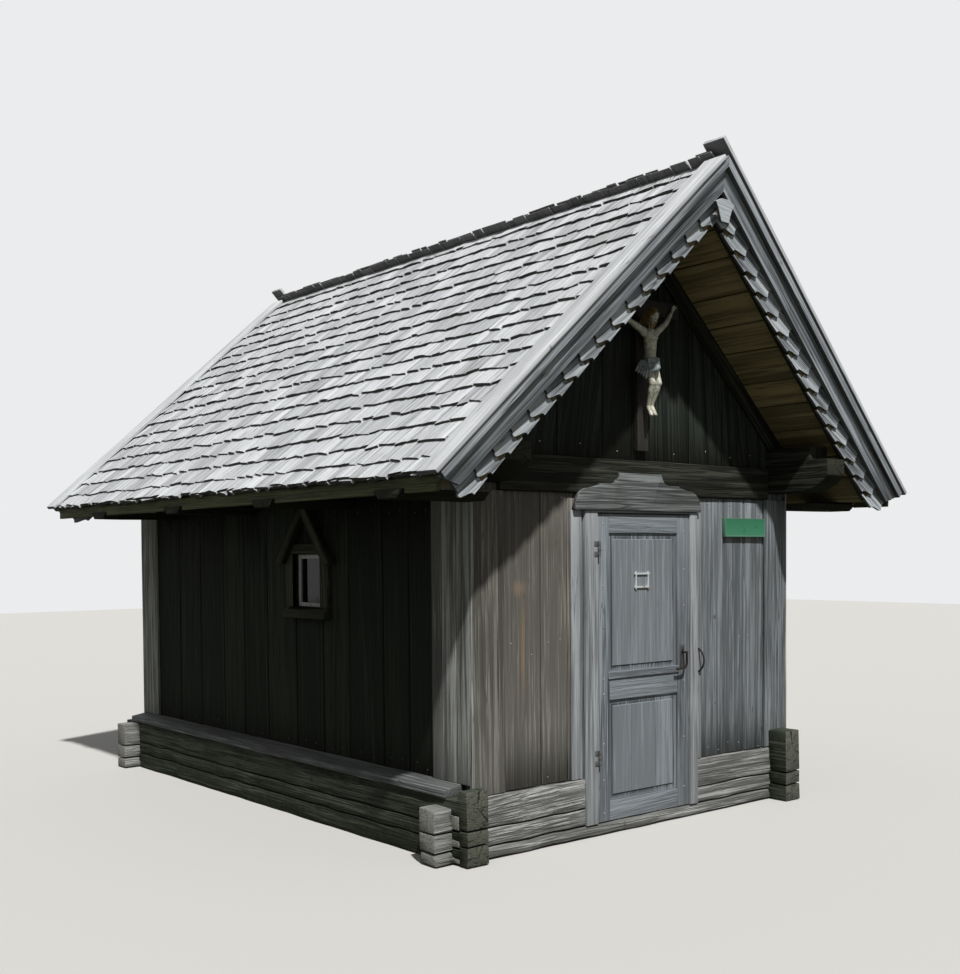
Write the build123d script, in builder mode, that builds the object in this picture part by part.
from build123d import *
import math
import os

os.makedirs("parts", exist_ok=True)

# A small timber chapel on a base of crossed logs. Lengths are in millimetres.
# X runs across the front, Y runs from the front wall to the back, Z is up from the ground.
# The front wall faces -Y and the wall with the window that shows faces -X.

# Small gap between timbers that lie against each other
seam = 0.6

# Walls
wall_width = 2790
wall_length = 4220
wall_thickness = 60
sill_top = 360
post_size = 120
corner_board_thickness = 18
corner_board_front = 222
corner_board_side = 335
corner_board_back = 258

# Base logs: tops of the two lower courses under the end walls and under the side walls
end_log_tops = (76, 178)
side_log_tops = (113, 200)
lap_levels = (45, 95, 140, 190, 275)
end_log_width = 140
side_log_width = 150
end_log_step = 25
left_log_step = 120
right_log_inset = 33
end_log_overrun = 125
side_log_overrun = 125
left_stub_run = 95
right_stub_run = 165
left_stub_top = 415
front_stub_setback = 55
front_stub_top = 314
right_stub_top = 480
drip_rise = 65
drip_edge_rise = 42
drip_overhang = 12
drip_end_inset = 85

# Floor
floor_top = 70
floor_thickness = 40
floor_gap = 5

# Doorway and door
door_left = -442
door_width = 821
door_bottom = 81
door_height = 1850
door_thickness = 40
door_proud = 20
door_gap = 7
stop_gap = 5
stop_reach = 15
stop_depth = 60
jamb_left_width = 101
jamb_right_width = 70
frame_proud = 32
frame_depth = 105
head_height = 55
wall_over_head = 57
stile_width = 108
hinge_stile_width = 99
top_rail_height = 113
middle_rail_level = 728
middle_rail_height = 167
bottom_rail_height = 115
panel_thickness = 18
panel_recess = 12
field_margin = 38
field_height = 6

# Ironwork of the door
hinge_levels = (345, 1595)
knuckle_radius = 9
knuckle_height = 30
knuckle_clearance = 1
pin_radius = 5
pin_clearance = 0.4
hinge_plate = 34
hinge_plate_thickness = 4
hinge_setback = 3.5
lock_level = 982
lock_inset = 62
lock_plate_width = 42
lock_plate_height = 150
lock_plate_thickness = 4
lever_length = 88
lever_drop = 100
lever_turn = 40
lever_radius = 6
lever_reach = 40
hub_radius = 9
spindle_radius = 6
spindle_clearance = 0.5
grille_drop = 404
grille_offset = -17
grille_width = 138
grille_height = 111
grille_bar = 11
grille_overrun = 9
grille_thickness = 10
pull_level = 921
pull_height = 150
pull_reach = 45
pull_radius = 6
pull_foot = 14

# Board over the door with its curved outline, and strips beside the frame
lintel_left_run = 95
lintel_right_run = 19
lintel_lap = 42
lintel_end_height = 20
lintel_round = 111
lintel_step_run = 205
lintel_step_height = 152
lintel_height = 228
lintel_flat = 378
lintel_shoulder = 520
lintel_shoulder_height = 160
lintel_thickness = 24
right_strip_width = 52
left_strip_width = 87
left_strip_gap = 18
strip_thickness = 16

# Beams
tie_beam_lap = 45
tie_beam_height = 212
tie_beam_depth = 140
tie_beam_proud = 22
plate_width = 190
plate_lower_height = 205
plate_front_runs = (285, 490)
plate_front_setback = 135
plate_back_run = 270
plate_back_setback = 90
plate_nose_run = 220
plate_nose_rise = 100
cross_beams_from_front = (1230, 2440)
cross_beam_from_back = 530
cross_beam_width = 165
cross_beam_drop = 120
beam_end_height = 48
beam_end_flare = 50
beam_end_run = 10
front_bracket_place = -58

# Roof: its rise for each unit of run, and the height of its edge boards over the wall top at the wall's face
roof_slope = 0.92524272
roof_over_wall = 620.2864
eaves_overhang = 665
front_ridge_overhang = 670
front_eaves_overhang = 550
back_ridge_overhang = 190
back_eaves_overhang = 360
cap_thickness = 26
cap_width = 150
cap_overshoot = 82
shingle_thickness = 45
shingle_overshoot = 60
shingle_eaves_setback = 33
roof_board_thickness = 24
roof_board_setback = 80
rafter_depth = 125
rafter_width = 100
rafter_bays = 4
soffit_thickness = 20
eaves_soffit_drop = 60
fascia_drop = 97
fascia_thickness = 24
fascia_setback = 78

# Boards on the two verges
upper_barge_width = 50
upper_barge_inset = 12
upper_barge_thickness = 30
upper_barge_tail = 28
lower_barge_lap = 14
lower_barge_width = 112
lower_barge_thickness = 28
lower_barge_tail = 21
lower_barge_cut = 70
scallop_tail = 78
scallop_head = 330
scallop_top = 150
scallop_valley = 276
scallop_tip = 290
scallop_pitch = 155
scallop_return = 60
scallop_thickness = 18
lath_width = 50
lath_height = 38
gable_rafter_depth = 115
gable_rafter_proud = 18

# Windows
window_from_front = 1678
window_width = 333
window_drop = 737
window_height = 344
casing_width = 89
casing_head = 69
casing_thickness = 24
sash_width = 28
sash_depth = 30
sash_recess = 20
glass_thickness = 4
window_sill_height = 73
window_sill_edge = 36
window_sill_projection = 30
hood_apex_drop = 40
hood_rise = 415
hood_half_width = 334
hood_projection = 62
hood_thickness = 62

# Cross, figure and plate on the front
cross_x = -62
cross_foot_rise = 56
cross_height = 1000
cross_bar = 95
cross_thickness = 40
cross_arm_rise = 882
cross_arm_length = 660
plate_gap = 8
plate_drop = 298
plate_length = 425
plate_height = 124
plate_thickness = 28

# Worked out from the sizes above
door_right = door_left + door_width
door_top = door_bottom + door_height
opening_left = door_left - door_gap
opening_right = door_right + door_gap
frame_left = opening_left - jamb_left_width
frame_right = opening_right + jamb_right_width
head_bottom = door_top + door_gap
head_top = head_bottom + head_height
lintel_bottom = head_top - lintel_lap
tie_beam_bottom = head_top + wall_over_head
tie_top = tie_beam_bottom + tie_beam_height
wall_top = tie_beam_bottom + tie_beam_lap
half_width = wall_width / 2
pitch = math.atan(roof_slope)
ridge_height = wall_top + roof_over_wall + roof_slope * half_width
roof_run = half_width + eaves_overhang
roof_rise = roof_slope * roof_run
front_lean = (front_ridge_overhang - front_eaves_overhang) / roof_rise
back_lean = (back_eaves_overhang - back_ridge_overhang) / roof_rise
eaves_height = ridge_height - roof_rise
front_reach = front_ridge_overhang + front_lean * cap_overshoot * math.sin(pitch)
back_reach = back_eaves_overhang + back_lean * cap_thickness * math.cos(pitch)
front_y = (front_reach - wall_length - back_reach) / 2
back_y = front_y + wall_length
room_half = half_width - wall_thickness
room_front = front_y + wall_thickness
room_back = back_y - wall_thickness
cross_beam_bottom = eaves_height - cross_beam_drop
eaves_soffit_level = eaves_height - eaves_soffit_drop
fascia_bottom = eaves_height - fascia_drop
shingle_depth = cap_thickness
roof_board_depth = shingle_depth + shingle_thickness
rafter_top_depth = roof_board_depth + roof_board_thickness
soffit_depth = rafter_top_depth + rafter_depth
soffit_under = soffit_depth + soffit_thickness
lower_barge_inset = upper_barge_inset + upper_barge_thickness
roof_inset = lower_barge_inset + lower_barge_thickness
lath_inset = roof_inset + scallop_thickness
beam_end = roof_run - fascia_setback + beam_end_run
beyond = 1000
upright = (Align.CENTER, Align.CENTER, Align.MIN)


def roof_z(x, depth):
    # Height of a surface that lies this deep, square to the slope, below the roof's edge boards
    return ridge_height - depth / math.cos(pitch) - roof_slope * abs(x)


def roof_x(z, depth):
    # Distance from the middle at which that surface reaches a height
    return (ridge_height - depth / math.cos(pitch) - z) / roof_slope


def slope_point(side, run, depth):
    # Point at a distance down one slope from the ridge, and at a depth below its edge boards
    x = run * math.cos(pitch) - depth * math.sin(pitch)
    z = ridge_height - run * math.sin(pitch) - depth * math.cos(pitch)
    return (side * x, z)


def front_edge(z):
    # Y of the leaning front edge of the roof
    return front_y - front_eaves_overhang - front_lean * (z - eaves_height)


def back_edge(z):
    # Y of the leaning back edge of the roof
    return back_y + back_eaves_overhang - back_lean * (z - eaves_height)


def block(x0, x1, y0, y1, z0, z1, mode=Mode.ADD):
    # A squared timber between two corners
    with Locations(((x0 + x1) / 2, (y0 + y1) / 2, (z0 + z1) / 2)):
        Box(abs(x1 - x0), abs(y1 - y0), abs(z1 - z0), mode=mode)


def across(points, y0, y1, mode=Mode.ADD):
    # A shape drawn across the building, with a length along it
    with BuildSketch(Plane.XZ.offset(-y0)) as outline:
        Polygon(*points, align=None)
    extrude(outline.sketch, amount=y0 - y1, mode=mode)


def along(points, x0, x1, mode=Mode.ADD):
    # A shape drawn along the building, with a width across it
    with BuildSketch(Plane.YZ.offset(x0)) as outline:
        Polygon(*points, align=None)
    extrude(outline.sketch, amount=x1 - x0, mode=mode)


def keep_between(front_inset, back_inset):
    # Keeps what lies between the two leaning ends of the roof
    high = ridge_height + beyond
    points = (
        (front_edge(0) + front_inset, 0),
        (back_edge(0) - back_inset, 0),
        (back_edge(high) - back_inset, high),
        (front_edge(high) + front_inset, high),
    )
    along(points, -roof_run - beyond, roof_run + beyond, mode=Mode.INTERSECT)


def keep_verge(at_front, outer, inner):
    # Keeps a slice that leans with one end of the roof
    high = ridge_height + beyond
    edge = front_edge if at_front else back_edge
    inward = 1 if at_front else -1
    points = (
        (edge(0) + inward * outer, 0),
        (edge(0) + inward * inner, 0),
        (edge(high) + inward * inner, high),
        (edge(high) + inward * outer, high),
    )
    along(points, -roof_run - beyond, roof_run + beyond, mode=Mode.INTERSECT)


def roof_piece(points, front_inset=roof_inset, back_inset=roof_inset):
    # A layer of the roof from its outline
    with BuildPart(mode=Mode.PRIVATE) as piece:
        across(points, front_y - beyond, back_y + beyond)
        keep_between(front_inset, back_inset)
    return piece.part


def verge_piece(points, at_front, outer, inner):
    # A board in the plane of a verge from its outline
    with BuildPart(mode=Mode.PRIVATE) as piece:
        across(points, front_y - beyond, back_y + beyond)
        keep_verge(at_front, outer, inner)
    return piece.part


def finish(builder, name):
    builder.part.label = name
    export_step(builder.part, f"parts/{name}.step")


# Places of the base logs
end_tops = end_log_tops + (sill_top,)
side_tops = side_log_tops + (sill_top,)
end_bottoms = (0,) + tuple(top + seam for top in end_log_tops)
side_bottoms = (0,) + tuple(top + seam for top in side_log_tops)
lap_bottoms = (0,) + tuple(level + seam for level in lap_levels)
lap_tops = lap_levels + (sill_top,)
front_log = (front_y - end_log_step, front_y - end_log_step + end_log_width)
back_log = (back_y + end_log_step - end_log_width, back_y + end_log_step)
left_log = (-half_width - left_log_step, -half_width - left_log_step + side_log_width)
right_log = (half_width - right_log_inset - side_log_width, half_width - right_log_inset)
end_log_ends = (left_log[0] - end_log_overrun, right_log[1] + end_log_overrun)
front_stub_tops = end_log_tops + (front_stub_top,)


def end_log(course, x0, x1, y_range):
    # One log under an end wall, notched where the side logs cross it
    y0, y1 = y_range
    with BuildPart(mode=Mode.PRIVATE) as log:
        block(x0, x1, y0, y1, end_bottoms[course], end_tops[course])
        for cross_0, cross_1 in (left_log, right_log):
            if x0 < cross_0 and cross_1 < x1:
                notch = (cross_0 - seam, cross_1 + seam, y0, y1)
                block(*notch, lap_tops[2 * course], beyond, mode=Mode.SUBTRACT)
                if course > 0:
                    block(*notch, 0, lap_bottoms[2 * course], mode=Mode.SUBTRACT)
    return log.part


def side_log(course, x_range, stub_run, stub_top):
    # One log under a side wall, notched where the end logs cross it
    x0, x1 = x_range
    y0 = front_y - stub_run
    y1 = back_y + side_log_overrun
    with BuildPart(mode=Mode.PRIVATE) as log:
        block(x0, x1, y0, y1, side_bottoms[course], side_tops[course])
        if course == 2:
            block(x0, x1, y0, front_log[0] - seam, side_bottoms[course], stub_top)
        for cross_0, cross_1 in (front_log, back_log):
            notch = (x0, x1, cross_0 - seam, cross_1 + seam)
            block(*notch, 0, lap_bottoms[2 * course + 1], mode=Mode.SUBTRACT)
            if course < 2:
                block(*notch, lap_tops[2 * course + 1], beyond, mode=Mode.SUBTRACT)
    return log.part


def set_back_stub(log, course):
    # The left end of a front log, beyond the side log, standing back and lower than the rest
    y0, y1 = front_log
    stub = (end_log_ends[0], left_log[0] - seam)
    with BuildPart(mode=Mode.PRIVATE) as shifted:
        add(log)
        block(*stub, y0, y0 + front_stub_setback, 0, beyond, mode=Mode.SUBTRACT)
        block(*stub, y0, y1, front_stub_tops[course], beyond, mode=Mode.SUBTRACT)
        block(*stub, y1, y1 + front_stub_setback, end_bottoms[course], front_stub_tops[course])
    return shifted.part


with BuildPart() as threshold_log:
    add(set_back_stub(end_log(0, *end_log_ends, front_log), 0))
finish(threshold_log, "threshold_log")

# Front logs on both sides of the doorway
with BuildPart() as front_sill:
    for course in (1, 2):
        add(set_back_stub(end_log(course, end_log_ends[0], frame_left, front_log), course))
        add(end_log(course, frame_right, end_log_ends[1], front_log))
finish(front_sill, "front_sill")

with BuildPart() as back_sill:
    for course in (0, 1, 2):
        add(end_log(course, *end_log_ends, back_log))
finish(back_sill, "back_sill")

with BuildPart() as left_sill:
    for course in (0, 1, 2):
        add(side_log(course, left_log, left_stub_run, left_stub_top))
finish(left_sill, "left_sill")

with BuildPart() as right_sill:
    for course in (0, 1, 2):
        add(side_log(course, right_log, right_stub_run, right_stub_top))
finish(right_sill, "right_sill")

# Sloping board that throws the rain off the left sill
with BuildPart() as drip_board:
    across(
        (
            (-half_width, sill_top),
            (-half_width, sill_top + drip_rise),
            (left_log[0] - drip_overhang, sill_top + drip_edge_rise),
            (left_log[0] - drip_overhang, sill_top),
        ),
        front_y + drip_end_inset,
        back_y,
    )
finish(drip_board, "drip_board")

# Floor boards inside the sills
with BuildPart() as floor:
    block(
        left_log[1] + floor_gap,
        right_log[0] - floor_gap,
        front_log[1],
        back_log[0],
        floor_top - floor_thickness,
        floor_top,
    )
finish(floor, "floor")

# Posts inside the four corners
with BuildPart() as corner_posts:
    for side in (-1, 1):
        for y0 in (room_front, room_back - post_size):
            block(side * (room_half - post_size), side * room_half, y0, y0 + post_size, sill_top, wall_top)
finish(corner_posts, "corner_posts")

# Boards that cover the outside of the four corners
with BuildPart() as corner_boards:
    skin = corner_board_thickness
    for side in (-1, 1):
        outer = side * (half_width + skin)
        edge = side * (half_width - corner_board_front)
        foot = sill_top + drip_rise + seam if side < 0 else sill_top
        block(outer, edge, front_y - skin, front_y, sill_top, tie_beam_bottom)
        block(outer, side * half_width, front_y - skin, front_y + corner_board_side, foot, wall_top)
        block(outer, edge, back_y, back_y + skin, sill_top, tie_beam_bottom)
        block(outer, side * half_width, back_y - corner_board_back, back_y + skin, foot, wall_top)
finish(corner_boards, "corner_boards")

tie_half = half_width - plate_width


def end_wall(x0, x1, y0, y1):
    # Boards of an end wall, taken up to the wall plate at the corner
    block(x0, x1, y0, y1, sill_top, tie_beam_bottom)
    for side in (-1, 1):
        corner = side * half_width
        if corner in (x0, x1):
            block(corner, side * tie_half, y0, y1, tie_beam_bottom, wall_top)


with BuildPart() as front_wall_left:
    end_wall(-half_width, frame_left, front_y, room_front)
finish(front_wall_left, "front_wall_left")

with BuildPart() as front_wall_right:
    end_wall(frame_right, half_width, front_y, room_front)
finish(front_wall_right, "front_wall_right")

with BuildPart() as front_wall_over_door:
    block(frame_left, frame_right, front_y, room_front, head_top, tie_beam_bottom)
finish(front_wall_over_door, "front_wall_over_door")

with BuildPart() as back_wall:
    end_wall(-half_width, half_width, room_back, back_y)
finish(back_wall, "back_wall")

# Places of the beams and of the windows along the building
front_beam_places = tuple(front_y + place for place in cross_beams_from_front)
beam_places = front_beam_places + (back_y - cross_beam_from_back,)
window_y = front_y + window_from_front
window_bottom = wall_top - window_drop
window_top = window_bottom + window_height
window_half = window_width / 2
beam_half = cross_beam_width / 2


def side_wall(side):
    # Boards of a side wall, open for the window and notched over the cross beams
    x0 = side * room_half
    x1 = side * half_width
    block(x0, x1, room_front, room_back, sill_top, wall_top)
    hole = (window_y - window_half, window_y + window_half, window_bottom, window_top)
    block(x0, x1, *hole, mode=Mode.SUBTRACT)
    for y in beam_places:
        block(x0, x1, y - beam_half, y + beam_half, cross_beam_bottom, wall_top, mode=Mode.SUBTRACT)


with BuildPart() as left_wall:
    side_wall(-1)
finish(left_wall, "left_wall")

with BuildPart() as right_wall:
    side_wall(1)
finish(right_wall, "right_wall")

# Tie beams over the two end walls
with BuildPart() as tie_beams:
    for y0 in (front_y - tie_beam_proud, back_y + tie_beam_proud - tie_beam_depth):
        block(-tie_half, tie_half, y0, y0 + tie_beam_depth, tie_beam_bottom, tie_top)
finish(tie_beams, "tie_beams")

# Wall plates that run out under the roof's edge at both ends, with rounded noses
plate_top = roof_z(half_width, soffit_under)
plate_split = wall_top + plate_lower_height
back_nose = back_y + plate_back_run
back_step = back_nose - plate_back_setback
nose_z = wall_top + plate_nose_rise
with BuildPart() as wall_plates:
    for x0, front_run in zip((-half_width, tie_half), plate_front_runs):
        front_nose = front_y - front_run
        front_step = front_nose + plate_front_setback
        with BuildSketch(Plane.YZ.offset(x0)):
            with BuildLine():
                Line((front_nose + plate_nose_run, wall_top), (back_nose - plate_nose_run, wall_top))
                TangentArc((back_nose - plate_nose_run, wall_top), (back_nose, nose_z), tangent=(1, 0))
                Polyline(
                    (back_nose, nose_z),
                    (back_nose, plate_split),
                    (back_step, plate_split),
                    (back_step, plate_top),
                    (front_step, plate_top),
                    (front_step, plate_split),
                    (front_nose, plate_split),
                    (front_nose, nose_z),
                )
                TangentArc((front_nose + plate_nose_run, wall_top), (front_nose, nose_z), tangent=(-1, 0))
            make_face()
        extrude(amount=plate_width)
finish(wall_plates, "wall_plates")


def beam_tail(side, y, x0):
    # End of a beam under the eaves, wider at the top than at the bottom
    flare_top = cross_beam_bottom + beam_end_height
    points = (
        (y - beam_half, cross_beam_bottom),
        (y + beam_half, cross_beam_bottom),
        (y + beam_half + beam_end_flare, flare_top),
        (y - beam_half - beam_end_flare, flare_top),
    )
    along(points, side * x0, side * beam_end)


# Cross beams over the room, and brackets in line with them at the front corners
with BuildPart() as cross_beams:
    for y in beam_places:
        block(-half_width, half_width, y - beam_half, y + beam_half, cross_beam_bottom, wall_top)
        for side in (-1, 1):
            beam_tail(side, y, half_width)
    for side in (-1, 1):
        beam_tail(side, front_y + front_bracket_place, half_width + corner_board_thickness)
finish(cross_beams, "cross_beams")


def gable(y0, y1):
    # Triangle of boards above a tie beam, stepped round the wall plates
    across(
        (
            (-tie_half, tie_top),
            (tie_half, tie_top),
            (tie_half, plate_top),
            (half_width, plate_top),
            (0, roof_z(0, soffit_under)),
            (-half_width, plate_top),
            (-tie_half, plate_top),
        ),
        y0,
        y1,
    )


with BuildPart() as front_gable:
    gable(front_y, room_front)
finish(front_gable, "front_gable")

with BuildPart() as back_gable:
    gable(room_back, back_y)
finish(back_gable, "back_gable")


def sloping(side, top, bottom, foot_z):
    # Outline of a timber that follows one slope from the middle to a level foot
    start = seam / 2
    return (
        (side * start, roof_z(start, top)),
        (side * roof_x(foot_z, top), foot_z),
        (side * roof_x(foot_z, bottom), foot_z),
        (side * start, roof_z(start, bottom)),
    )


# Rafters that stand against the gables under the soffit
with BuildPart() as gable_rafters:
    foot_z = plate_top + seam
    for side in (-1, 1):
        outline = sloping(side, soffit_under, soffit_under + gable_rafter_depth, foot_z)
        across(outline, front_y - gable_rafter_proud, front_y)
        across(outline, back_y, back_y + gable_rafter_proud)
finish(gable_rafters, "gable_rafters")

# Soffit boards, down the slope and then level behind the fascia
fascia_out = roof_run - fascia_setback
fascia_in = fascia_out - fascia_thickness
with BuildPart() as soffit_boards:
    level = eaves_soffit_level
    upper = level + soffit_thickness
    start = seam / 2
    for side in (-1, 1):
        outline = (
            (side * start, roof_z(start, soffit_depth)),
            (side * roof_x(upper, soffit_depth), upper),
            (side * fascia_in, upper),
            (side * fascia_in, level),
            (side * roof_x(level, soffit_under), level),
            (side * start, roof_z(start, soffit_under)),
        )
        add(roof_piece(outline, lath_inset, lath_inset))
finish(soffit_boards, "soffit_boards")

# Rafters between the soffit and the roof boards
with BuildPart() as rafters:
    foot_z = eaves_soffit_level + soffit_thickness
    tail_x = fascia_in - seam
    first_y = front_edge(eaves_height) + lath_inset + rafter_width
    last_y = back_edge(ridge_height) - lath_inset - rafter_width
    rafter_step = (last_y - first_y) / rafter_bays
    outline = (
        (-tail_x, foot_z),
        (-roof_x(foot_z, soffit_depth), foot_z),
        (0, roof_z(0, soffit_depth)),
        (roof_x(foot_z, soffit_depth), foot_z),
        (tail_x, foot_z),
        (tail_x, roof_z(tail_x, rafter_top_depth)),
        (0, roof_z(0, rafter_top_depth)),
        (-tail_x, roof_z(tail_x, rafter_top_depth)),
    )
    for n in range(rafter_bays + 1):
        y = first_y + n * rafter_step
        across(outline, y - rafter_width / 2, y + rafter_width / 2)
finish(rafters, "rafters")

# Roof boards under the shingles
with BuildPart() as roof_boards:
    board_end = roof_run - roof_board_setback
    start = seam / 2
    for side in (-1, 1):
        outline = (
            (side * start, roof_z(start, roof_board_depth)),
            (side * board_end, roof_z(board_end, roof_board_depth)),
            (side * board_end, roof_z(board_end, rafter_top_depth)),
            (side * start, roof_z(start, rafter_top_depth)),
        )
        add(roof_piece(outline))
finish(roof_boards, "roof_boards")


def over_ridge(top, bottom, overshoot, setback=0):
    # Outline of a layer on the right slope that runs on over the ridge
    head = slope_point(1, -overshoot, top)
    head_under = slope_point(1, -overshoot, bottom)
    foot_x = roof_run - setback
    foot = (foot_x, roof_z(foot_x, top))
    thickness = bottom - top
    foot_under = (foot[0] - thickness * math.sin(pitch), foot[1] - thickness * math.cos(pitch))
    return (foot, head, head_under, foot_under)


def under_ridge(top, bottom, setback=0):
    # Outline of a layer on the left slope that ends under the shingles of the right one
    meet_top = (roof_board_depth - top) / (2 * math.sin(pitch))
    meet_bottom = (roof_board_depth - bottom) / (2 * math.sin(pitch))
    foot_x = roof_run - setback
    foot = (-foot_x, roof_z(foot_x, top))
    thickness = bottom - top
    foot_under = (foot[0] + thickness * math.sin(pitch), foot[1] - thickness * math.cos(pitch))
    return (foot, (-meet_top, roof_z(meet_top, top)), (-meet_bottom, roof_z(meet_bottom, bottom)), foot_under)


with BuildPart() as shingles_left:
    add(roof_piece(under_ridge(shingle_depth, roof_board_depth, shingle_eaves_setback)))
finish(shingles_left, "shingles_left")

with BuildPart() as shingles_right:
    outline = over_ridge(shingle_depth, roof_board_depth, shingle_overshoot, shingle_eaves_setback)
    add(roof_piece(outline))
finish(shingles_right, "shingles_right")

# Boards along the eaves, notched over the beam ends
with BuildPart() as fascias:
    for side in (-1, 1):
        outline = (
            (side * fascia_out, fascia_bottom),
            (side * fascia_out, roof_z(fascia_out, rafter_top_depth)),
            (side * fascia_in, roof_z(fascia_in, rafter_top_depth)),
            (side * fascia_in, fascia_bottom),
        )
        add(roof_piece(outline, lath_inset, lath_inset))
        notch_half = beam_half + beam_end_flare + seam
        notch_top = cross_beam_bottom + beam_end_height + seam
        for y in beam_places + (front_y + front_bracket_place,):
            notch = (side * fascia_in, side * fascia_out, y - notch_half, y + notch_half)
            block(*notch, 0, notch_top, mode=Mode.SUBTRACT)
finish(fascias, "fascias")

# Flat boards on top of the roof along the verges
with BuildPart() as verge_caps:
    for at_front in (True, False):
        add(verge_piece(under_ridge(0, cap_thickness), at_front, 0, cap_width))
        add(verge_piece(over_ridge(0, cap_thickness, cap_overshoot), at_front, 0, cap_width))
finish(verge_caps, "verge_caps")



def barge(side, top, bottom, top_run, bottom_run):
    # Outline of a bargeboard from the middle to its cut end
    start = seam / 2
    return (
        (side * start, roof_z(start, top)),
        slope_point(side, top_run, top),
        slope_point(side, bottom_run, bottom),
        (side * start, roof_z(start, bottom)),
    )


# Upper and lower bargeboards, nailed face to face
slope_run = roof_run / math.cos(pitch)
upper_bottom = cap_thickness + upper_barge_width
lower_top = upper_bottom - lower_barge_lap
lower_bottom = lower_top + lower_barge_width
with BuildPart() as bargeboards:
    upper_end = slope_run - upper_barge_tail
    lower_end = slope_run - lower_barge_tail
    for at_front in (True, False):
        for side in (-1, 1):
            upper_outline = barge(side, cap_thickness, upper_bottom, upper_end, upper_end)
            lower_outline = barge(side, lower_top, lower_bottom, lower_end, lower_end - lower_barge_cut)
            add(verge_piece(upper_outline, at_front, upper_barge_inset, lower_barge_inset))
            add(verge_piece(lower_outline, at_front, lower_barge_inset, roof_inset))
finish(bargeboards, "bargeboards")

# Trim of short overlapping boards behind the bargeboards
scallop_end = slope_run - scallop_tail
scallop_count = int((scallop_end - scallop_head) / scallop_pitch)


def scallop_outline(side):
    # A straight top edge, and a lower edge that steps in at the end of each short board
    head_x = seam / 2
    points = [(side * head_x, roof_z(head_x, scallop_top)), (side * head_x, roof_z(head_x, scallop_tip))]
    for n in range(scallop_count, 0, -1):
        run = scallop_end - (n - 1) * scallop_pitch
        points.append(slope_point(side, run - scallop_pitch, scallop_valley))
        points.append(slope_point(side, run - scallop_return, scallop_tip))
    points.append(slope_point(side, scallop_end, scallop_tip - scallop_return))
    points.append(slope_point(side, scallop_end, scallop_top))
    return points


with BuildPart() as scallop_trims:
    for at_front in (True, False):
        for side in (-1, 1):
            add(verge_piece(scallop_outline(side), at_front, roof_inset, lath_inset))
finish(scallop_trims, "scallop_trims")

# Laths under the soffit, behind the saw-toothed trim
with BuildPart() as verge_laths:
    for at_front in (True, False):
        for side in (-1, 1):
            outline = sloping(side, soffit_under, soffit_under + lath_height, eaves_soffit_level)
            add(verge_piece(outline, at_front, lath_inset, lath_inset + lath_width))
finish(verge_laths, "verge_laths")

# Door frame: two jambs and a head, with the stops that the door closes on
frame_front = front_y - frame_proud
frame_back = frame_front + frame_depth
door_front = front_y - door_proud
door_back = door_front + door_thickness
threshold_top = end_log_tops[0]
stop_front = door_back + stop_gap
stop_back = stop_front + stop_depth
stop_top = head_bottom - seam
stops_left = opening_left + seam
stops_right = opening_right - seam
with BuildPart() as door_frame:
    block(frame_left, opening_left, frame_front, frame_back, threshold_top, lintel_bottom)
    block(opening_right, frame_right, frame_front, frame_back, threshold_top, lintel_bottom)
    head_front = front_y - tie_beam_proud
    block(frame_left, frame_right, head_front, frame_back, lintel_bottom + seam, head_top)
    block(opening_left + seam, opening_right - seam, head_front, frame_back, head_bottom, head_top)
    block(stops_left, stops_left + stop_reach, stop_front, stop_back, threshold_top, stop_top)
    block(stops_right - stop_reach, stops_right, stop_front, stop_back, threshold_top, stop_top)
    block(
        stops_left + stop_reach + seam,
        stops_right - stop_reach - seam,
        stop_front,
        stop_back,
        stop_top - stop_reach,
        stop_top,
    )
finish(door_frame, "door_frame")

# Strips on the wall beside the frame
with BuildPart() as door_strips:
    strip_face = front_y - strip_thickness
    strip_top = lintel_bottom - seam
    left_strip_end = frame_left - left_strip_gap
    block(frame_right + seam, frame_right + right_strip_width, strip_face, front_y, sill_top, strip_top)
    block(left_strip_end - left_strip_width, left_strip_end, strip_face, front_y, sill_top, strip_top)
finish(door_strips, "door_strips")

# Board over the door: rounded ends, a small step, then hollow curves up to a flat top
lintel_left = frame_left - lintel_left_run
lintel_right = frame_right + lintel_right_run
lintel_middle = (lintel_left + lintel_right) / 2
shoulder_z = lintel_bottom + lintel_shoulder_height
lintel_top = lintel_bottom + lintel_height
lintel_end_z = lintel_bottom + lintel_end_height
with BuildPart() as lintel_board:
    with BuildSketch(Plane.XZ.offset(tie_beam_proud - front_y)):
        with BuildLine():
            Line((lintel_left, lintel_bottom), (lintel_right, lintel_bottom))
            Line((lintel_middle - lintel_flat / 2, lintel_top), (lintel_middle + lintel_flat / 2, lintel_top))
            for side, end in ((-1, lintel_left), (1, lintel_right)):
                shoulder = (lintel_middle + side * lintel_shoulder / 2, shoulder_z)
                crest = (lintel_middle + side * lintel_flat / 2, lintel_top)
                round_top = (end - side * lintel_round, lintel_end_z + lintel_round)
                step_x = end - side * lintel_step_run
                Line((end, lintel_bottom), (end, lintel_end_z))
                TangentArc((end, lintel_end_z), round_top, tangent=(0, 1))
                Polyline(round_top, (step_x, lintel_bottom + lintel_step_height), (step_x, shoulder_z), shoulder)
                TangentArc(shoulder, crest, tangent=(-side, 0))
        make_face()
    extrude(amount=lintel_thickness)
finish(lintel_board, "lintel_board")

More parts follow.
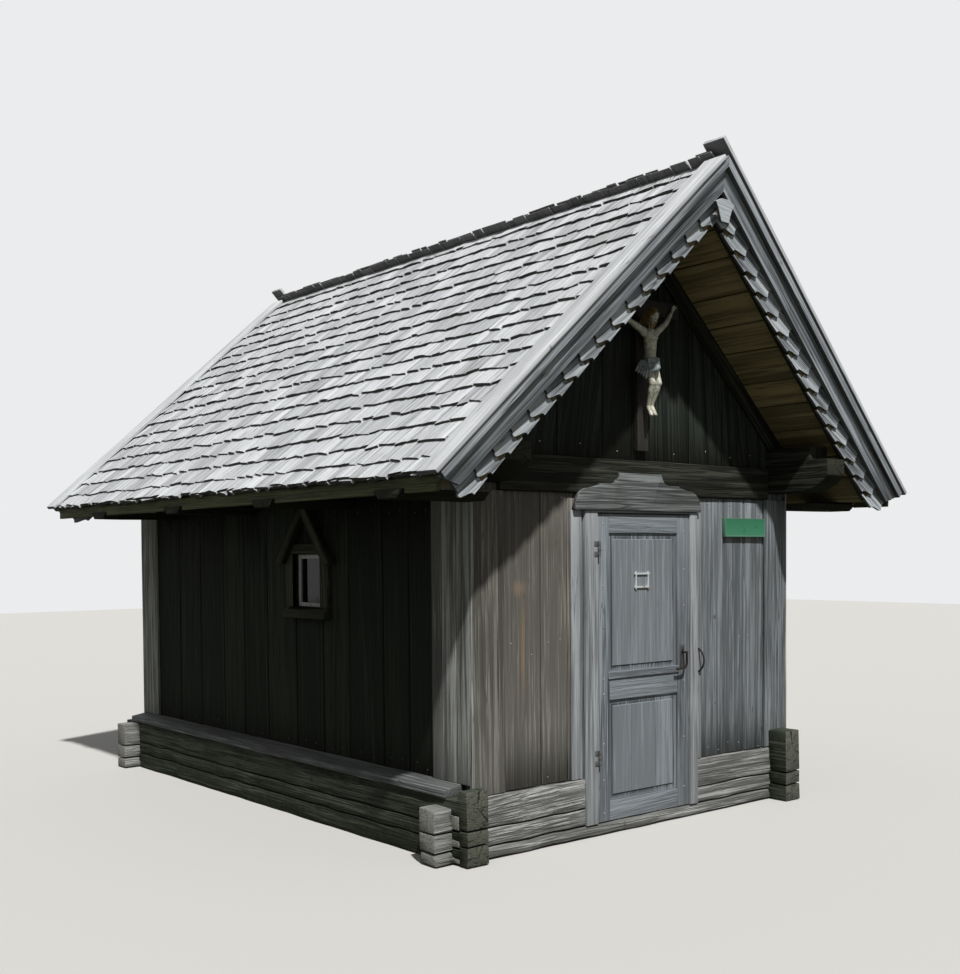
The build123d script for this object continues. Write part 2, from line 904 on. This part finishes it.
# Door leaf: two stiles and three rails
middle_rail_bottom = door_bottom + middle_rail_level
panel_left = door_left + hinge_stile_width
panel_right = door_right - stile_width
panel_spans = (
    (door_bottom + bottom_rail_height, middle_rail_bottom),
    (middle_rail_bottom + middle_rail_height, door_top - top_rail_height),
)
with BuildPart() as door_leaf:
    block(door_left, door_right, door_front, door_back, door_bottom, door_top)
    for z0, z1 in panel_spans:
        block(panel_left, panel_right, door_front, door_back, z0, z1, mode=Mode.SUBTRACT)
finish(door_leaf, "door_leaf")

# Boarded panels with a raised field
panel_front = door_front + panel_recess
field_front = panel_front - field_height
with BuildPart() as door_panels:
    for z0, z1 in panel_spans:
        block(panel_left, panel_right, panel_front, panel_front + panel_thickness, z0, z1)
        field = (panel_left + field_margin, panel_right - field_margin, field_front, panel_front)
        block(*field, z0 + field_margin, z1 - field_margin)
finish(door_panels, "door_panels")

# Small iron grille on the upper panel: four bars that cross near their ends
with BuildPart() as door_grille:
    grille_x = (panel_left + panel_right) / 2 + grille_offset
    low = door_top - grille_drop - grille_height / 2
    high = low + grille_height
    left = grille_x - grille_width / 2
    right = left + grille_width
    depth = (field_front - grille_thickness, field_front)
    for bar_x in (left + grille_overrun, right - grille_overrun - grille_bar):
        block(bar_x, bar_x + grille_bar, *depth, low, high)
    for bar_z in (low + grille_overrun, high - grille_overrun - grille_bar):
        block(left, right, *depth, bar_z, bar_z + grille_bar)
finish(door_grille, "door_grille")

# Lock plate, bored for the lever's spindle
lock_x = door_right - lock_inset
lock_z = door_bottom + lock_level
with BuildPart() as lock_plate:
    block(
        lock_x - lock_plate_width / 2,
        lock_x + lock_plate_width / 2,
        door_front - lock_plate_thickness,
        door_front,
        lock_z - lock_plate_height * 2 / 3,
        lock_z + lock_plate_height / 3,
    )
    with Locations(Plane((lock_x, door_front, lock_z), z_dir=(0, -1, 0))):
        Cylinder(spindle_radius + spindle_clearance, lock_plate_thickness, align=upright, mode=Mode.SUBTRACT)
finish(lock_plate, "lock_plate")

# Lever: a spindle, and a forged bar that drops and curves away to the left
lever_y = door_front - lever_reach
lever_end = (lock_x - lever_length, lock_z - lever_drop)
with BuildPart() as door_lever:
    with BuildSketch(Plane.XZ.offset(-lever_y)) as lever_shape:
        with BuildLine():
            turn_start = (lock_x, lock_z - lever_drop + lever_turn)
            turn_end = (lock_x - lever_turn, lock_z - lever_drop)
            Line((lock_x, lock_z), turn_start)
            TangentArc(turn_start, turn_end, tangent=(0, -1))
            Line(turn_end, lever_end)
        trace(line_width=2 * lever_radius)
        with Locations((lock_x, lock_z), lever_end):
            Circle(hub_radius)
    extrude(lever_shape.sketch, amount=lever_radius, both=True)
    with Locations(Plane((lock_x, door_front - spindle_clearance, lock_z), z_dir=(0, -1, 0))):
        Cylinder(spindle_radius, lever_reach, align=upright)
finish(door_lever, "door_lever")

# Hinges: two knuckles with a pin on the frame, and one knuckle on the door between them
hinge_x = door_left - hinge_setback
hinge_y = frame_front - knuckle_radius


def knuckle(z, height):
    with Locations((hinge_x, hinge_y, z)):
        Cylinder(knuckle_radius, height, align=upright)


with BuildPart() as frame_hinges:
    for hinge_level in hinge_levels:
        base = door_bottom + hinge_level
        upper_z = base + 2 * (knuckle_height + knuckle_clearance)
        for z in (base, upper_z):
            knuckle(z, knuckle_height)
            plate = (hinge_x - hinge_plate, hinge_x, frame_front - hinge_plate_thickness, frame_front)
            block(*plate, z, z + knuckle_height)
        with Locations((hinge_x, hinge_y, base)):
            Cylinder(pin_radius, upper_z + knuckle_height - base, align=upright)
finish(frame_hinges, "frame_hinges")

with BuildPart() as door_hinges:
    for hinge_level in hinge_levels:
        z0 = door_bottom + hinge_level + knuckle_height + knuckle_clearance
        z1 = z0 + knuckle_height
        knuckle(z0, knuckle_height)
        block(hinge_x + pin_radius, hinge_x + knuckle_radius, hinge_y, door_front, z0, z1)
        plate = (hinge_x + pin_radius, hinge_x + hinge_plate, door_front - hinge_plate_thickness, door_front)
        block(*plate, z0, z1)
        with Locations((hinge_x, hinge_y, z0)):
            Cylinder(pin_radius + pin_clearance, knuckle_height, align=upright, mode=Mode.SUBTRACT)
finish(door_hinges, "door_hinges")

# Bent iron pull on the strip beside the door
pull_x = frame_right + right_strip_width / 2
pull_y = front_y - strip_thickness
pull_low = door_bottom + pull_level - pull_height / 2
pull_high = pull_low + pull_height
with BuildPart() as pull_handle:
    with BuildLine(Plane.YZ.offset(pull_x)) as pull_path:
        ThreePointArc((pull_y, pull_low), (pull_y - pull_reach, (pull_low + pull_high) / 2), (pull_y, pull_high))
    with BuildSketch(Plane(pull_path.line @ 0, z_dir=pull_path.line % 0)):
        Circle(pull_radius)
    sweep()
    behind = (pull_x - pull_foot, pull_x + pull_foot, pull_y, pull_y + pull_reach)
    block(*behind, pull_low - pull_foot, pull_high + pull_foot, mode=Mode.SUBTRACT)
finish(pull_handle, "pull_handle")

# Windows: casing boards on the wall, a sill, and a sash set back in the opening
casing_span = (window_y - window_half - casing_width, window_y + window_half + casing_width)
window_opening = (window_y - window_half, window_y + window_half, window_bottom, window_top)
pane = (
    window_y - window_half + sash_width,
    window_y + window_half - sash_width,
    window_bottom + sash_width,
    window_top - sash_width,
)
hood_apex = wall_top - hood_apex_drop
hood_foot = hood_apex - hood_rise
hood_slope = hood_rise / hood_half_width
hood_drop = hood_thickness * math.sqrt(1 + hood_slope**2)
hood_under = hood_apex - hood_drop - seam


def casing(side):
    # Casing boards with their upper corners cut to fit under the hood, and the sill below them
    wall_face = side * half_width
    face = side * (half_width + casing_thickness)
    casing_edge = window_half + casing_width
    sill_face = side * (half_width + casing_thickness + window_sill_projection)
    sill_bottom = window_bottom - window_sill_height
    casing_top = window_top + casing_head
    cut_y = (hood_under - casing_top) / hood_slope
    cut_z = hood_under - hood_slope * casing_edge
    points = (
        (window_y - casing_edge, window_bottom),
        (window_y + casing_edge, window_bottom),
        (window_y + casing_edge, cut_z),
        (window_y + cut_y, casing_top),
        (window_y - cut_y, casing_top),
        (window_y - casing_edge, cut_z),
    )
    along(points, wall_face, face)
    block(wall_face, face, *window_opening, mode=Mode.SUBTRACT)
    across(
        (
            (wall_face, sill_bottom),
            (sill_face, sill_bottom),
            (sill_face, sill_bottom + window_sill_edge),
            (face, window_bottom),
            (wall_face, window_bottom),
        ),
        *casing_span,
    )


with BuildPart() as window_frames:
    for side in (-1, 1):
        with BuildPart(mode=Mode.PRIVATE) as surround:
            casing(side)
        add(surround.part)
        sash_out = side * (half_width - sash_recess)
        sash_in = side * (half_width - sash_recess - sash_depth)
        with BuildPart(mode=Mode.PRIVATE) as sash:
            block(sash_in, sash_out, *window_opening)
            block(sash_in, sash_out, *pane, mode=Mode.SUBTRACT)
        add(sash.part)
finish(window_frames, "window_frames")

with BuildPart() as window_glass:
    for side in (-1, 1):
        glass_x = side * (half_width - sash_recess - sash_depth / 2)
        block(glass_x - glass_thickness / 2, glass_x + glass_thickness / 2, *pane)
finish(window_glass, "window_glass")

# Little gabled hoods over the windows
with BuildPart() as window_hoods:
    start = seam / 2
    for side in (-1, 1):
        for hand in (-1, 1):
            points = (
                (window_y + hand * start, hood_apex - hood_slope * start),
                (window_y + hand * hood_half_width, hood_foot),
                (window_y + hand * (hood_half_width - hood_drop / hood_slope), hood_foot),
                (window_y + hand * start, hood_apex - hood_slope * start - hood_drop),
            )
            along(points, side * half_width, side * (half_width + hood_projection))
finish(window_hoods, "window_hoods")

# Bare plate on the front wall
plate_right = half_width - corner_board_front - plate_gap
plate_bottom = wall_top - plate_drop
with BuildPart() as name_plate:
    block(
        plate_right - plate_length,
        plate_right,
        front_y - plate_thickness,
        front_y,
        plate_bottom,
        plate_bottom + plate_height,
    )
finish(name_plate, "name_plate")

# Cross on the front gable, its arms let in over the rafters
cross_face = front_y - cross_thickness
cross_foot = tie_top + cross_foot_rise
cross_arm_level = cross_foot + cross_arm_rise
with BuildPart() as cross:
    half_bar = cross_bar / 2
    half_arm = cross_arm_length / 2
    shaft = (cross_x - half_bar, cross_x + half_bar, cross_face, front_y)
    arms = (cross_x - half_arm, cross_x + half_arm, cross_face, front_y)
    block(*shaft, cross_foot, cross_foot + cross_height)
    block(*arms, cross_arm_level - half_bar, cross_arm_level + half_bar)
    for side in (-1, 1):
        housing = sloping(side, soffit_under, soffit_under + gable_rafter_depth + seam, plate_top)
        across(housing, front_y - gable_rafter_proud - seam, front_y, mode=Mode.SUBTRACT)
finish(cross, "cross")

# Carved figure, modelled by itself: places across, out from the cross, and above the soles
figure_rise = 212
head_place = (-20, 92, 590)
neck_place = (-10, 72, 520)
chest_place = (0, 60, 470)
waist_place = (-4, 62, 370)
hip_place = (-6, 60, 320)
shoulder_place = (72, 52, 515)
elbow_place = (165, 34, 570)
hand_place = (250, 13, 655)
knee_place = (16, 130, 190)
ankle_place = (10, 48, 60)
toe_place = (12, 70, 12)
head_radius = 46
neck_radius = 20
chest_radius = 44
waist_radius = 34
hip_radius = 42
shoulder_radius = 24
arm_radius = 18
wrist_radius = 13
thigh_radius = 30
shin_radius = 18
ankle_radius = 14
toe_radius = 12
cloth_radius = 52
cloth_height = 80


def on_cross(place, side=1):
    return Vector(side * place[0], -place[1], place[2])


def limb(start, end, start_radius, end_radius):
    # A tapering limb with round ends
    with Locations(Plane(start, z_dir=end - start)):
        Cone(start_radius, end_radius, (end - start).length, align=upright)
    with Locations(start):
        Sphere(start_radius)
    with Locations(end):
        Sphere(end_radius)


with BuildPart() as figure:
    limb(on_cross(hip_place), on_cross(waist_place), hip_radius, waist_radius)
    limb(on_cross(waist_place), on_cross(chest_place), waist_radius, chest_radius)
    limb(on_cross(neck_place), on_cross(head_place), neck_radius, head_radius)
    limb(on_cross(chest_place), on_cross(neck_place), shoulder_radius, neck_radius)
    for side in (-1, 1):
        limb(on_cross(chest_place), on_cross(shoulder_place, side), chest_radius * 0.8, shoulder_radius)
        limb(on_cross(shoulder_place, side), on_cross(elbow_place, side), shoulder_radius, arm_radius)
        limb(on_cross(elbow_place, side), on_cross(hand_place, side), arm_radius, wrist_radius)
        limb(on_cross(hip_place), on_cross(knee_place, side), thigh_radius, shin_radius * 1.2)
        limb(on_cross(knee_place, side), on_cross(ankle_place, side), shin_radius, ankle_radius)
        limb(on_cross(ankle_place, side), on_cross(toe_place, side), ankle_radius, toe_radius)
    with Locations(on_cross(hip_place)):
        Cylinder(cloth_radius, cloth_height)
with BuildPart() as corpus:
    with Locations((cross_x, cross_face, cross_foot + figure_rise)):
        add(figure.part)
finish(corpus, "corpus")
